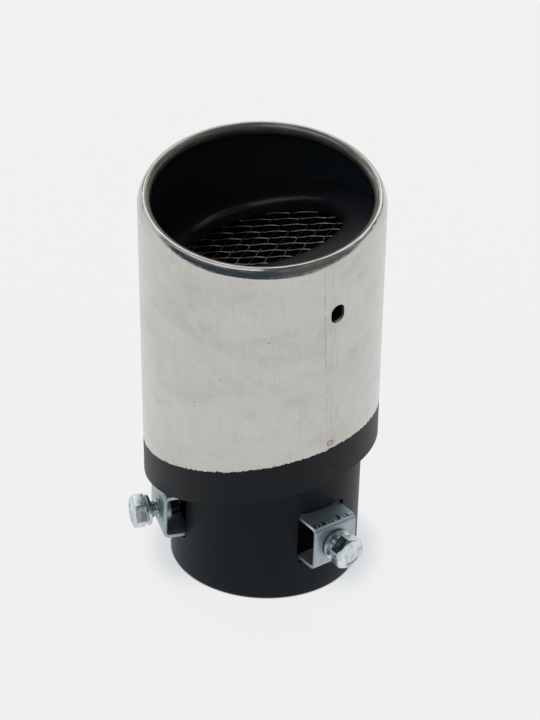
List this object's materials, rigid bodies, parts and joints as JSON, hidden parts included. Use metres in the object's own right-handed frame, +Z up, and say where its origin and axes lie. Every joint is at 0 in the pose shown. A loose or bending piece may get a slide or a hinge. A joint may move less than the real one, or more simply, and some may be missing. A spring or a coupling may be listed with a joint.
{
  "type": "exhaust tip",
  "caption": "Round slanted exhaust tip: polished tube with a rolled rim and inner mesh, on a black inlet pipe with screw clamps.",
  "frame": {"origin": "centre of the inlet pipe's square-cut lower end", "axes": "+Z up the inlet pipe towards the mouth, +X level through the first clamp screw; the sleeve leans 9.75 degrees from +Z"},
  "size_m": [0.0896, 0.0914, 0.1477],
  "materials": {
    "polished_sleeve": "polished stainless steel with fine marks; its rear band is black paint",
    "inner_sheet": "black paint",
    "rear_sheet": "black paint",
    "mesh_wire": "bright drawn wire",
    "black_paint": "satin black paint",
    "zinc_bracket": "blue zinc plate, satin",
    "zinc_bolt": "blue zinc plate, cold-formed",
    "zinc_washer": "blue zinc plate"
  },
  "bodies": {
    "tip": {"outer_sleeve": "polished_sleeve", "face_plate": "inner_sheet", "mesh_screen": "mesh_wire", "inlet_pipe": "black_paint", "end_plate": "rear_sheet", "clamp_1_bracket": "zinc_bracket", "clamp_2_bracket": "zinc_bracket", "clamp_3_bracket": "zinc_bracket"},
    "clamp_1_washer": {"clamp_1_spring_washer": "zinc_washer"},
    "clamp_1_screw": {"clamp_1_bolt": "zinc_bolt"},
    "clamp_2_washer": {"clamp_2_spring_washer": "zinc_washer"},
    "clamp_2_screw": {"clamp_2_bolt": "zinc_bolt"},
    "clamp_3_washer": {"clamp_3_spring_washer": "zinc_washer"},
    "clamp_3_screw": {"clamp_3_bolt": "zinc_bolt"}
  },
  "joints": [
    {"name": "clamp_1_travel", "type": "slide", "parent": "clamp_1_washer", "child": "clamp_1_screw", "axis": [1, 0, 0], "range_m": [-0.0021, 0.006]},
    {"name": "clamp_1_turn", "type": "hinge", "parent": "tip", "child": "clamp_1_washer", "pos_m": [0.0414, 0, 0.022], "axis": [1, 0, 0], "range_deg": [-756, 2160]},
    {"name": "clamp_2_travel", "type": "slide", "parent": "tip", "child": "clamp_2_washer", "axis": [-0.3486, -0.9373, 0], "range_m": [-0.0027, 0.006]},
    {"name": "clamp_2_turn", "type": "hinge", "parent": "clamp_2_washer", "child": "clamp_2_screw", "pos_m": [-0.01436, -0.03862, 0.0202], "axis": [-0.3486, -0.9373, 0], "range_deg": [-973, 2160]},
    {"name": "clamp_3_travel", "type": "slide", "parent": "clamp_3_washer", "child": "clamp_3_screw", "axis": [-0.5664, 0.8241, 0], "range_m": [-0.0024, 0.006]},
    {"name": "clamp_3_turn", "type": "hinge", "parent": "tip", "child": "clamp_3_washer", "pos_m": [-0.02334, 0.03395, 0.0215], "axis": [-0.5664, 0.8241, 0], "range_deg": [-864, 2160]}
  ],
  "couplings": [
    {"joint": "clamp_1_turn", "follows": "clamp_1_travel", "rad_per_m": 6283.2},
    {"joint": "clamp_2_turn", "follows": "clamp_2_travel", "rad_per_m": 6283.2},
    {"joint": "clamp_3_turn", "follows": "clamp_3_travel", "rad_per_m": 6283.2}
  ]
}
